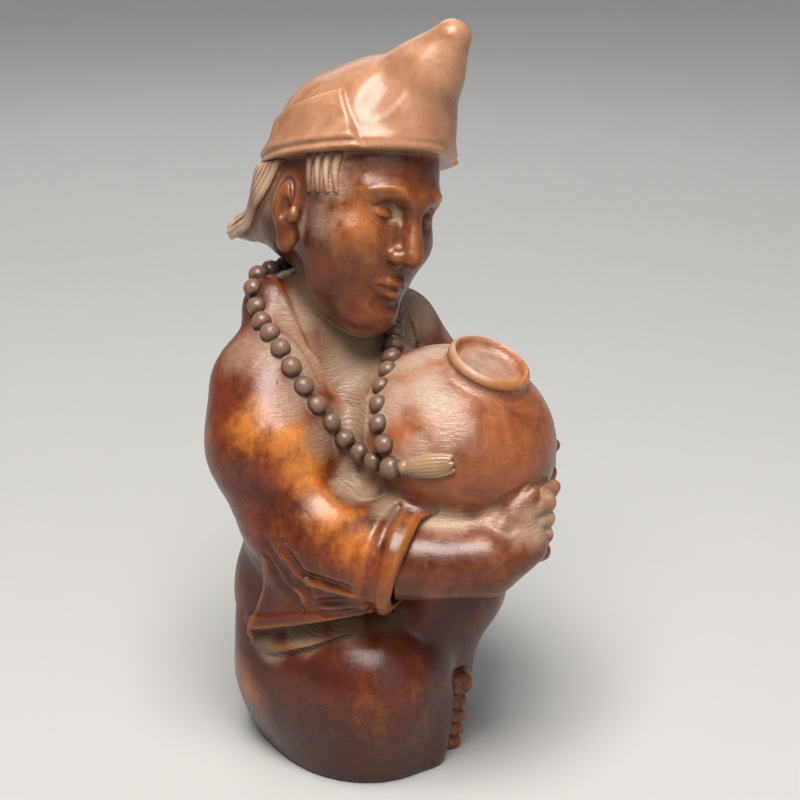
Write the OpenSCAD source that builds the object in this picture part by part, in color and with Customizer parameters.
// Seated monk hugging a round jar, a joined-wood figure: carved blocks glued over dowels.
// Millimetres. The base rests on z = 0, the figure faces -y, its right hand is at -x.
// The sizes below are drawn in figure millimetres and are scaled together to the height figure_h.

/* [Overall] */
// Height from the resting face to the tip of the cap
figure_h = 100; // [60:1:180]

/* [Seat and legs] */
// Half width of the seat
seat_rx = 16.6; // [14:0.1:19]
// Half depth of the seat
seat_ry = 15.4; // [13:0.1:18]
// Radius of the folded right thigh
thigh_r = 10; // [8:0.1:12]
// Height of the raised left knee
left_knee_z = 24; // [20:0.5:26]
// Radius of the raised left knee
left_knee_r = 7.4; // [6:0.1:9]

/* [Trunk] */
// Half width of the trunk
trunk_rx = 13.5; // [11:0.1:15]
// Half depth of the trunk
trunk_ry = 12; // [10:0.1:14]
// Height of the shoulder line
shoulder_z = 55; // [52:0.5:58]
// How softly neighbouring masses run into each other
softness = 4; // [1:0.25:6]

/* [Arms] */
// Radius of the sleeve at the upper arm
arm_r = 7.7; // [6.5:0.1:9.5]
// Radius of the cuff
cuff_r = 7.2; // [6.2:0.1:8]
// Radius of the bare forearm at the cuff
forearm_r = 5.2; // [4.2:0.1:5.8]
// Radius of the wrist
wrist_r = 4.3; // [3.4:0.1:4.8]
// Thickness of a finger
finger_d = 2.3; // [1.8:0.1:2.8]
// Depth of the hollow in the cuff
cuff_depth = 3; // [1:0.25:5]

/* [Head] */
// Half width of the skull
skull_rx = 10.2; // [9:0.1:11.5]
// Half depth of the skull
skull_ry = 12.3; // [11:0.1:13.5]
// Nod of the head towards the jar, degrees
head_nod = 4; // [0:1:20]
// Lean of the head to the figure's left, degrees
head_lean = 16; // [0:1:20]
// Turn of the head to the figure's right, degrees
head_turn = 8; // [0:1:15]
// Radius of the neck
neck_r = 6; // [5:0.1:7]

/* [Cap] */
// Half width of the brim
brim_rx = 11.5; // [10.5:0.1:13]
// Half depth of the brim
brim_ry = 13.2; // [12.5:0.1:15.5]
// Thickness of the rolled brim
brim_t = 2; // [1:0.1:3]
// Slope of the brim up to the forehead, degrees
brim_slope = 20; // [0:1:25]
// Height of the peak above the skull's centre
peak_z = 18.8; // [16:0.1:22]

/* [Jar] */
// Largest radius of the jar
jar_r = 13.3; // [11:0.1:14]
// Half height of the jar's belly
jar_half_h = 11.3; // [9:0.1:13]
// Forward tilt of the jar, degrees
jar_tilt = 23; // [10:1:35]
// Radius of the lip
lip_r = 5.5; // [4:0.1:7]
// Height of the lip above the belly
lip_h = 1.5; // [0.5:0.1:3]
// Depth of the mouth
mouth_depth = 1.3; // [0.5:0.1:4]

/* [Necklace] */
// Diameter of a bead
bead_d = 2.7; // [2:0.1:3.2]
// Number of equal beads
bead_count = 32; // [16:1:35]
// Diameter of the bead where the strands meet
guru_d = 3; // [2.4:0.1:3.6]
// Length of the tassel
tassel_l = 7; // [4:0.25:9]

/* [Joinery] */
// Diameter of the large dowels
dowel_d = 4; // [3:0.1:5]
// Diameter of the small dowels
small_dowel_d = 2.4; // [1.6:0.1:3]
// Room for glue at the ends of a dowel
glue_room = 0.4; // [0.1:0.1:1]

/* [Fineness] */
// Rings of points on the largest carved block
block_rings = 40; // [24:1:60]
// Points round the largest carved block
block_sides = 46; // [24:2:72]

/* [Hidden] */
wood = [0.48, 0.22, 0.11];
pale_wood = [0.78, 0.6, 0.38];
jar_wood = [0.55, 0.28, 0.16];
bead_wood = [0.4, 0.26, 0.18];
big = 80;
march_steps = 26;
fine = 64;

// Masses. A ball is [centre, radii], a limb is [start, end, start radius, end radius].
function mix(a, b, t) = a + (b - a) * t;
function within(t) = min(1, max(0, t));
function unit_of(v) = v / norm(v);
function over(v, r) = [v.x / r.x, v.y / r.y, v.z / r.z];

function ball_gap(p, c, r) =
    let (q = over(p - c, r), a = norm(q), b = norm(over(q, r)))
    b < 0.0001 ? -min(r) : a * (a - 1) / b;

function limb_gap(p, a, b, ra, rb) =
    let (t = within((p - a) * (b - a) / ((b - a) * (b - a))))
    norm(p - mix(a, b, t)) - mix(ra, rb, t);

function gap(p, m) = len(m) == 2 ? ball_gap(p, m[0], m[1]) : limb_gap(p, m[0], m[1], m[2], m[3]);

function soft_min(a, b, k) = let (h = max(k - abs(a - b), 0) / k) min(a, b) - h * h * k / 4;

function blend(p, masses, k, i = 0, d = 1000) =
    i == len(masses) ? d : blend(p, masses, k, i + 1, soft_min(d, gap(p, masses[i]), k));

// Distance along a ray, coming in from far outside, to the blended surface
function reach(from, dir, masses, k, r, n = march_steps) =
    n == 0 ? max(r, 0.3) : reach(from, dir, masses, k, r - blend(from + r * dir, masses, k), n - 1);

function touch(from, dir, masses, k, far = 45) = from + reach(from, dir, masses, k, far) * dir;

// Closed skin over blended masses: rays fan out from a spine, from one of its ends to the other.
// crowd draws the rays together on the side of the direction 'front'.
module carve(masses, k, spine, front, rings, sides, crowd = 0) {
    axis = unit_of(spine[1] - spine[0]);
    e2 = unit_of(cross(axis, -front));
    e1 = cross(e2, axis);
    ring = [for (i = [1 : rings - 1])
        let (s = i / rings, lift = 180 * s - 90, o = mix(spine[0], spine[1], s))
        for (j = [0 : sides - 1]) let (t = 360 * j / sides, a = t + crowd * 57.3 * sin(t))
            touch(o, axis * sin(lift) + (e1 * cos(a) + e2 * sin(a)) * cos(lift), masses, k)];
    low = touch(spine[0], -axis, masses, k);
    high = touch(spine[1], axis, masses, k);
    last = (rings - 2) * sides;
    polyhedron(
        points = concat([low], ring, [high]),
        faces = concat(
            [for (j = [0 : sides - 1]) [0, 1 + j, 1 + (j + 1) % sides]],
            [for (i = [0 : rings - 3], j = [0 : sides - 1], half = [0, 1])
                let (a = 1 + i * sides + j, b = 1 + i * sides + (j + 1) % sides)
                half == 0 ? [a, a + sides, b] : [b, a + sides, b + sides]],
            [for (j = [0 : sides - 1]) [1 + last + j, 1 + last + sides, 1 + last + (j + 1) % sides]]),
        convexity = 10);
}

// Everything on the far side of a plane
module half_space(point, normal) {
    n = unit_of(normal);
    translate(point) rotate([0, acos(n.z), atan2(n.y, n.x)]) translate([-big, -big, 0]) cube(2 * big);
}

function flip(v, s) = [v.x * s, v.y, v.z];

// Robe and body
seat = [[-0.6, 0.6, 9], [seat_rx, seat_ry, 17]];
right_knee = [-9, -8.6, 12.4];
left_knee = [1.3, -13.2, left_knee_z];
leg_masses = [
    seat,
    [[-6, 3, 10], right_knee, thigh_r + 0.2, thigh_r],
    [[-7, -5.6, 5], [10.6, 11.4, 13]],
    [[5, 3, 12], left_knee, 9, left_knee_r],
    [left_knee, [4.4, -5.4, 5], left_knee_r - 0.2, 5.6]];
torso_masses = [
    [[0, 4, 34], [trunk_rx, trunk_ry, 24]],
    [[-0.5, 6, shoulder_z - 6], [13, 9.8, 13]],
    [[-5.5, 9.8, shoulder_z + 4.4], [6, 9, shoulder_z + 4.4], 4.2, 4.2],
    [[-9, 5, shoulder_z - 3.5], [12, 3, shoulder_z - 2], 5.5, 5.5],
    [[0, -1, 44], [10, 9, 11]]];

// Sleeves: shoulder, upper arm, elbow, cuff and hanging cloth; s is -1 on the right and 1 on the left
shoulder = [12, 6, shoulder_z - 4.4];
arm_mid = [14.2, 3, 44.5];
elbow = [14.8, -2, 34.5];
function cuff(s) = s < 0 ? [13.5, -14.5, 33] : [15, -8.6, 34];
function arm_masses(s) = [
    [flip(shoulder, s), flip(arm_mid, s), arm_r - 0.4, arm_r + 0.2],
    [flip(arm_mid, s), flip(elbow, s), arm_r + 0.2, arm_r - 0.8]];
function sleeve_masses(s) = concat([seat], torso_masses, arm_masses(s), [
    [flip(elbow, s), flip(cuff(s), s), arm_r - 0.8, cuff_r],
    [flip([14.5, -1, 25.5], s), [5, 11, 10.5]],
    [flip([14.8, 3, 21.5], s), [4.6, 6, 7]]]);
block_masses = concat(leg_masses, torso_masses, arm_masses(-1), arm_masses(1));

// The sleeve sits on an upright oblique face and on a shelf that rises to the front
joint_face = [10.3, 0, 40];
joint_out = unit_of([0.966, -0.26, 0]);
shelf_face = [15, 5, 15];
shelf_up = unit_of([0, 0.4, 0.917]);

// Forearms and hands round the jar, the left hand above the right one
right_wrist = [6.8, -25, 33];
left_wrist = [15.4, -15.4, 36.6];
function wrist(s) = s < 0 ? right_wrist : left_wrist;
function palm(s) = s < 0 ? [2.2, -27.8, 34.4] : [14.6, -18, 38];
function arm_dir(s) = unit_of(wrist(s) - cuff(s));
function cuff_end(s) = cuff(s) + arm_dir(s) * 4.4;
function cuff_floor(s) = cuff_end(s) - arm_dir(s) * cuff_depth;
finger_pitch = finger_d * 0.93;
function finger_way(s, i) = s < 0 ? [-5.8 + 0.5 * i, -0.8 + 0.3 * i, 1.2] : [-2, -3.4, 1.2];
function finger(s, i) = let (p = palm(s) + [0, 0, finger_pitch * (i - 1) - 1.6])
    [flip(p + [0.2, -0.8, 0], s), flip(p + finger_way(s, i), s), finger_d / 2 + 0.1, finger_d / 2 - 0.1];
function thumb_root(s) = palm(s) + (s < 0 ? [1.8, 1.4, 3.2] : [-0.4, 1.6, 2.6]);
function thumb_tip(s) = palm(s) + (s < 0 ? [-2, 0.6, 6.2] : [-1.2, -1, 5.6]);
function forearm_masses(s) = concat([
    [flip(cuff(s), s), flip(wrist(s), s), forearm_r, wrist_r],
    [flip(wrist(s), s), flip(palm(s), s), wrist_r, 3.2]],
    [for (i = [0 : 3]) finger(s, i)],
    [[flip(thumb_root(s), s), flip(thumb_tip(s), s), finger_d / 2 + 0.3, finger_d / 2]]);

// Right foot, on its outer edge with the toes in a column; it comes out of an upright slot in the hem
foot_root = [-5.3, -8.6, 5.9];
foot_ball = [-2.2, -12.9, 5.9];
foot_dir = unit_of(foot_ball - foot_root);
foot_r = 2.9;
foot_spread = 2.7;
foot_slot_r = 3.5;
toe_pitch = 2.35;
foot_masses = [for (z = [-foot_spread, foot_spread])
    [foot_root - foot_dir + [0, 0, z], foot_ball + [0, 0, z], foot_r, foot_r - 0.3]];
toes = [for (i = [-2 : 2]) let (p = foot_ball + foot_dir * 0.8 + [0, 0, toe_pitch * i])
    [p, p + foot_dir * (3.6 - 0.15 * i * i), toe_pitch * (0.57 + 0.03 * i)]];

// Head, in its own frame: x to the figure's left, -y to the face
head_c = [1, 2, 75];
head_turns = [head_nod, head_lean, -head_turn];
neck_c = [0, 3.4, 0];
neck_bottom = 55;
function paired(x, v, r) = [for (s = [-1, 1]) [[s * x, v.x, v.y], r]];
head_masses = concat(
    [[[0, 0.6, 1.5], [skull_rx, skull_ry, 12.5]],
    [[0, -4.4, -6], [8, 7.2, 10.8]],
    [[0, -8, -14], [4.2, 3.4, 3.2]]],
    paired(5, [-7.2, -4.8], [3.3, 3.1, 3.2]),
    [[[-5.4, -9.2, 1.8], [0, -11.2, 1.2], 1.2, 1.2],
    [[5.4, -9.2, 1.8], [0, -11.2, 1.2], 1.2, 1.2],
    [[0, -11.3, 0], [0, -13.3, -5.4], 1, 1.6],
    [[-1.5, -11.9, -5.7], [1.5, -11.9, -5.7], 1.1, 1.1],
    [[-2.4, -11, -9.4], [2.4, -11, -9.4], 0.9, 0.9],
    [[-2, -10.8, -10.9], [2, -10.8, -10.9], 0.9, 0.9]],
    paired(10, [0.4, -2.8], [1.8, 2.7, 3.7]),
    paired(9.5, [-0.3, -7], [1.4, 1.6, 2.3]),
    [[[0, 6.4, -3], [9, 5.8, 8.4]],
    [[-4, 8.6, -6.4], [-5, 13.4, -9.2], 3, 1.7]]);

// Cap, in the frame of its sloping brim: flared brim, crown and upright peak
brim_c = [0, -0.4, 3.4];
brim_up = [0, sin(brim_slope), cos(brim_slope)];
tip_c = [0, -15.4, peak_z - 5];
tip_r = 1.9;
cap_masses = [
    [[0, 0, brim_t * 0.45], [brim_rx, brim_ry, brim_t * 0.75]],
    [[0, 0, 2.4], [brim_rx - 0.9, brim_ry - 1, 9.6]],
    [[0, -5.6, 5.6], [0, -12.4, peak_z - 9], 7.6, 4.2],
    [[0, -12.4, peak_z - 9], tip_c, 4.2, tip_r]];

// The tip's height before scaling, from the slope of the brim and the nod and lean of the head
tip_in_head = [0, brim_c.y + tip_c.y * cos(brim_slope) + tip_c.z * sin(brim_slope),
    brim_c.z - tip_c.y * sin(brim_slope) + tip_c.z * cos(brim_slope)];
tip_rise = cos(head_lean) * (sin(head_nod) * tip_in_head.y + cos(head_nod) * tip_in_head.z);
unit = figure_h / (head_c.z + tip_rise + tip_r);

// Jar: a squat belly with a short neck, a rolled lip and a shallow mouth
jar_c = [1, -14.8, 44.6];
jar_turns = [jar_tilt, 3, 0];
jar_up = [cos(jar_tilt) * sin(3), -sin(jar_tilt), cos(jar_tilt) * cos(3)];
lip_t = 0.85;
lip_z = jar_half_h + lip_h - lip_t;

module in_head() {
    translate(head_c) rotate(head_turns) children();
}

function belly(a) = [jar_r * pow(abs(cos(a)), 0.92), jar_half_h * sin(a)];
function jar_outline() = concat(
    [for (a = [-90 : 6 : 66]) belly(a)],
    [for (a = [-50 : 20 : 150]) [lip_r - lip_t + lip_t * cos(a), lip_z + lip_t * sin(a)]],
    [[lip_r - 2 * lip_t, lip_z + lip_t - mouth_depth], [0, lip_z + lip_t - mouth_depth]]);

module jar_form() {
    translate(jar_c) rotate(jar_turns) rotate_extrude($fn = fine) polygon(jar_outline());
}

// Necklace: its line is laid on the skin of body and jar along rays from the chest
chest_c = [0, 1, 47];
drape_masses = concat(block_masses, [[jar_c, [jar_r, jar_r, jar_half_h]]]);
strand = [[-12.3, -14.3, 45], [-11.6, -10.5, 45], [-11.4, -7, 46], [-12.9, -4.1, 50.2], [-13.5, -1.4, 53.6],
    [-13, 2.6, 57.6], [-10.6, 7.8, 59.8], [-6, 12, 64], [0, 13, 65], [6, 11.4, 64], [9, 7, 60], [7, 1.4, 57],
    [2, -3.9, 55.8], [-3, -7, 54], [-7.2, -8.8, 52], [-10.2, -10.8, 49.7], [-11.7, -12.8, 47.6],
    [-12.3, -14.3, 45]];
strand_steps = 90;

function along(path, t) = let (n = len(path) - 1, i = min(n - 1, floor(t * n)), f = t * n - i,
    a = path[max(0, i - 1)], b = path[i], c = path[i + 1], d = path[min(n, i + 2)])
    0.5 * (2 * b + (c - a) * f + (2 * a - 5 * b + 4 * c - d) * f * f + (3 * b - a - 3 * c + d) * f * f * f);
function on_skin(p, lift) = let (v = unit_of(p - chest_c))
    touch(chest_c, v, drape_masses, softness) + v * lift;
function lengths(p, i = 0, sum = 0) = i == len(p) ? [] :
    let (l = sum + (i == 0 ? 0 : norm(p[i] - p[i - 1]))) concat([[l, i]], lengths(p, i + 1, l));
function at_length(p, table, l) =
    let (k = lookup(l, table), i = min(len(p) - 2, floor(k))) mix(p[i], p[i + 1], k - i);

bead_lift = bead_d * 0.2;
strand_line = [for (i = [0 : strand_steps]) on_skin(along(strand, i / strand_steps), bead_lift)];
strand_table = lengths(strand_line);
strand_l = strand_table[strand_steps][0];
guru_c = on_skin(strand[0], guru_d * 0.25);
first_bead = guru_d / 2 + bead_d * 0.55;
bead_pitch = (strand_l - 2 * first_bead) / (bead_count - 1);
bead_centres = [for (i = [0 : bead_count - 1])
    at_length(strand_line, strand_table, first_bead + bead_pitch * i)];

module bead_forms() {
    for (c = bead_centres)
        translate(c) sphere(d = bead_d, $fn = 32);
}

module guru_form() {
    translate(guru_c) sphere(d = guru_d, $fn = 32);
}

// Tassel: a fluted bundle that lies on the jar from the guru bead towards the front
tassel_dir = unit_of([0.16, -0.96, 0.2]);
tassel_flutes = 8;
module tassel_form() {
    rings = 8;
    sides = 2 * tassel_flutes;
    side = unit_of(cross(tassel_dir, guru_c - jar_c));
    out = cross(side, tassel_dir);
    from = guru_c + tassel_dir * guru_d * 0.52;
    function swell(t) = 0.75 + 0.85 * sqrt(t) - 0.5 * t * t * t;
    line = [for (i = [0 : rings]) let (p = from + tassel_dir * tassel_l * i / rings, v = unit_of(p - jar_c))
        touch(jar_c, v, [[jar_c, [jar_r, jar_r, jar_half_h]]], 1) + v * 0.75];
    pts = [for (i = [0 : rings], j = [0 : sides - 1])
        let (r = swell(i / rings) * (j % 2 == 0 ? 1.08 : 0.9), a = 360 * j / sides)
        line[i] + (side * 1.35 * cos(a) + out * sin(a)) * r];
    top = rings * sides;
    polyhedron(points = concat([from - tassel_dir * 0.02], pts, [line[rings] + tassel_dir * 0.3]),
        faces = concat([for (j = [0 : sides - 1]) [0, 1 + j, 1 + (j + 1) % sides]],
        [for (i = [0 : rings - 1], j = [0 : sides - 1], half = [0, 1])
            let (a = 1 + i * sides + j, b = 1 + i * sides + (j + 1) % sides)
            half == 0 ? [a, a + sides, b] : [b, a + sides, b + sides]],
        [for (j = [0 : sides - 1]) [1 + top + j, 1 + top + sides, 1 + top + (j + 1) % sides]]));
}

// Dowels: each is a pair of end points and a diameter; its bore is longer by the room for glue
neck_dowel_ends = [[neck_c.x, neck_c.y, neck_bottom - 9], [neck_c.x, neck_c.y, neck_bottom + 8]];
cap_dowel_ends = [brim_c - brim_up * 6, brim_c + brim_up * 5];
jar_dowel_ends = [jar_c - jar_up * (jar_half_h + 7), jar_c - jar_up * (jar_half_h - 5)];
function sleeve_dowel_ends(s, i) = let (m = flip([10.3 + 1.1 * i, 4 - 4 * i, 53 - 14 * i], s))
    [m - flip(joint_out, s) * 4, m + flip(joint_out, s) * 4.5];
function forearm_dowel_ends(s) = let (m = cuff_floor(s), v = arm_dir(s) * 5)
    [flip(m - v, s), flip(m + v, s)];
foot_dowel_ends = [foot_root - foot_dir * 5, foot_root + foot_dir * 4];

// A round bar between two points, longer by 'more' at both ends
module bar(ends, d, more = 0) {
    v = unit_of(ends[1] - ends[0]);
    translate(ends[0] - v * more) rotate([0, acos(v.z), atan2(v.y, v.x)])
        cylinder(d = d, h = norm(ends[1] - ends[0]) + 2 * more, $fn = fine);
}

module sleeve_bores(s) {
    for (i = [0, 1])
        bar(sleeve_dowel_ends(s, i), small_dowel_d, glue_room);
}

// The room that a sleeve takes from the body
module sleeve_room(s) {
    intersection() {
        half_space(flip(joint_face, s), flip(joint_out, s));
        half_space(flip(shelf_face, s), shelf_up);
        half_space([0, -12, 0], [0, 1, 0]);
    }
}

// The slot that the foot comes out of
module foot_slot() {
    for (z = [-foot_spread, 0, foot_spread])
        bar([foot_root + [0, 0, z], foot_root + foot_dir * 20 + [0, 0, z]], 2 * foot_slot_r);
}

module neck_plug(h) {
    translate([neck_c.x, neck_c.y, neck_bottom]) cylinder(r = neck_r, h = h, $fn = fine);
}

module in_cap() {
    in_head() translate(brim_c) rotate([-brim_slope, 0, 0]) children();
}

// Parts
module robe_body() {
    color(wood) difference() {
        carve(block_masses, softness, [[0, 0, 8], [0, 3, 52]], [0, -1, 0], block_rings, block_sides);
        half_space([0, 0, 0], [0, 0, -1]);
        sleeve_room(-1);
        sleeve_room(1);
        sleeve_bores(-1);
        sleeve_bores(1);
        jar_form();
        neck_plug(30);
        bar(neck_dowel_ends, dowel_d, glue_room);
        bar(jar_dowel_ends, dowel_d, glue_room);
        bead_forms();
        foot_slot();
        bar(foot_dowel_ends, small_dowel_d, glue_room);
    }
}

module sleeve(s, rings, sides) {
    color(wood) difference() {
        carve(sleeve_masses(s), softness, [flip([14, 2, 47], s), flip([14.5, -5, 30], s)],
            flip([1, 0, 0], s), rings, sides, 0.3);
        half_space(flip(joint_face, s), -flip(joint_out, s));
        half_space(flip(shelf_face, s), -shelf_up);
        half_space(flip(cuff_end(s), s), flip(arm_dir(s), s));
        bar([flip(cuff_floor(s), s), flip(cuff_end(s) + arm_dir(s) * 6, s)], 2 * forearm_r + 1.2);
        bar(forearm_dowel_ends(s), small_dowel_d, glue_room);
        jar_form();
        sleeve_bores(s);
        bead_forms();
    }
}

module forearm(s, rings, sides) {
    color(wood) difference() {
        carve(forearm_masses(s), 0.9,
            [flip(cuff(s) + arm_dir(s) * 4, s), flip(palm(s) + [-0.4, -0.2, 0.4], s)],
            [0, 0, 1], rings, sides);
        half_space(flip(cuff_floor(s), s), -flip(arm_dir(s), s));
        bar(forearm_dowel_ends(s), small_dowel_d, glue_room);
        jar_form();
    }
}

module right_foot() {
    color(wood) difference() {
        union() {
            carve(foot_masses, 0.7, [foot_root, foot_ball], [0, 0, 1], 14, 16);
            for (t = toes) {
                bar([t[0], t[1]], 1.8 * t[2]);
                translate(t[1]) sphere(r = t[2], $fn = fine);
            }
        }
        half_space([0, 0, 0], [0, 0, -1]);
        half_space(foot_root, -foot_dir);
        bar(foot_dowel_ends, small_dowel_d, glue_room);
    }
}

module head() {
    color(wood) difference() {
        union() {
            in_head() carve(head_masses, 1.8, [[0, -1, -8], [0, 0, 6]], [0, -1, 0], 38, 46, 0.25);
            neck_plug(12);
        }
        in_head() half_space(brim_c, brim_up);
        in_head() bar(cap_dowel_ends, dowel_d, glue_room);
        bar(neck_dowel_ends, dowel_d, glue_room);
    }
}

module cap() {
    color(wood) difference() {
        in_cap() carve(cap_masses, 2.4, [[0, -1, -4.6], [0, -4, 6.4]], [0, -1, 0], 26, 34, 0.3);
        in_cap() half_space([0, 0, 0], [0, 0, -1]);
        in_head() bar(cap_dowel_ends, dowel_d, glue_room);
    }
}

module jar() {
    color(jar_wood) difference() {
        jar_form();
        bar(jar_dowel_ends, dowel_d, glue_room);
        bead_forms();
        guru_form();
    }
}

module prayer_beads() {
    color(bead_wood) bead_forms();
}

module guru_bead() {
    color(bead_wood) guru_form();
}

module tassel() {
    color(bead_wood) difference() {
        tassel_form();
        jar_form();
        guru_form();
    }
}

module dowel(ends, d) {
    color(pale_wood) bar(ends, d);
}

module sleeve_dowels(s) {
    for (i = [0, 1])
        dowel(sleeve_dowel_ends(s, i), small_dowel_d);
}

scale(unit) robe_body();
scale(unit) sleeve(-1, 28, 30);  // right_sleeve
scale(unit) sleeve(1, 24, 24);  // left_sleeve
scale(unit) forearm(-1, 30, 28);  // right_forearm
scale(unit) forearm(1, 22, 18);  // left_forearm
scale(unit) right_foot();
scale(unit) head();
scale(unit) cap();
scale(unit) jar();
scale(unit) prayer_beads();
scale(unit) guru_bead();
scale(unit) tassel();
scale(unit) dowel(neck_dowel_ends, dowel_d);  // neck_dowel
scale(unit) in_head() dowel(cap_dowel_ends, dowel_d);  // cap_dowel
scale(unit) sleeve_dowels(-1);  // right_sleeve_dowels
scale(unit) sleeve_dowels(1);  // left_sleeve_dowels
scale(unit) dowel(forearm_dowel_ends(-1), small_dowel_d);  // right_forearm_dowel
scale(unit) dowel(forearm_dowel_ends(1), small_dowel_d);  // left_forearm_dowel
scale(unit) dowel(jar_dowel_ends, dowel_d);  // jar_dowel
scale(unit) dowel(foot_dowel_ends, small_dowel_d);  // foot_dowel
